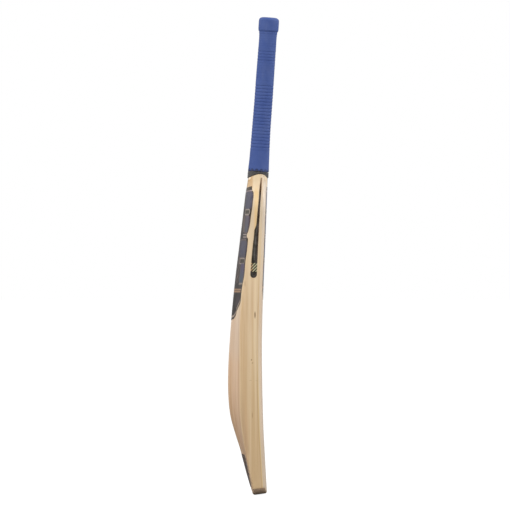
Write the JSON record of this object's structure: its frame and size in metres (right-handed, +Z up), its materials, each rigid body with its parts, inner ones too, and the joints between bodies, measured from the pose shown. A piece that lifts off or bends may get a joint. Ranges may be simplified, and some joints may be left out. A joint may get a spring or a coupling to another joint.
{
  "type": "cricket bat",
  "caption": "Full-size cricket bat: bowed willow blade with a low swell on its back, V-spliced laminated cane handle, ribbed rubber grip and toe guard.",
  "frame": {"origin": "centre of the toe's flat underside", "axes": "+Z up along the blade towards the handle, +X towards the striking face, Y across the blade's width"},
  "size_m": [0.0914, 0.1092, 0.853],
  "materials": {
    "willow": "oiled and burnished willow, fine straight grain",
    "cane": "sanded cane with fine dark fibres",
    "spring_rubber": "matte",
    "twine": "waxed thread, close wound",
    "tape": "matte woven tape",
    "grip": "matte ribbed rubber",
    "guard": "matte",
    "sticker_back": "satin printed film",
    "sticker_face": "satin printed film",
    "sticker_edge": "satin printed film",
    "sticker_toe": "satin printed film"
  },
  "bodies": {
    "root": {"blade": "willow", "toe_guard": "guard", "cane_a_back": "cane", "cane_a_middle": "cane", "cane_a_front": "cane", "cane_b_back": "cane", "cane_b_middle": "cane", "cane_b_front": "cane", "cane_c_back": "cane", "cane_c_middle": "cane", "cane_c_front": "cane", "cane_d_back": "cane", "cane_d_middle": "cane", "cane_d_front": "cane", "spring_strip_left": "spring_rubber", "spring_strip_centre": "spring_rubber", "spring_strip_right": "spring_rubber", "twine_binding": "twine", "shoulder_tape": "tape", "grip": "grip", "back_sticker": "sticker_back", "face_sticker": "sticker_face", "edge_sticker_left": "sticker_edge", "edge_sticker_right": "sticker_edge", "toe_sticker": "sticker_toe"}
  },
  "joints": []
}
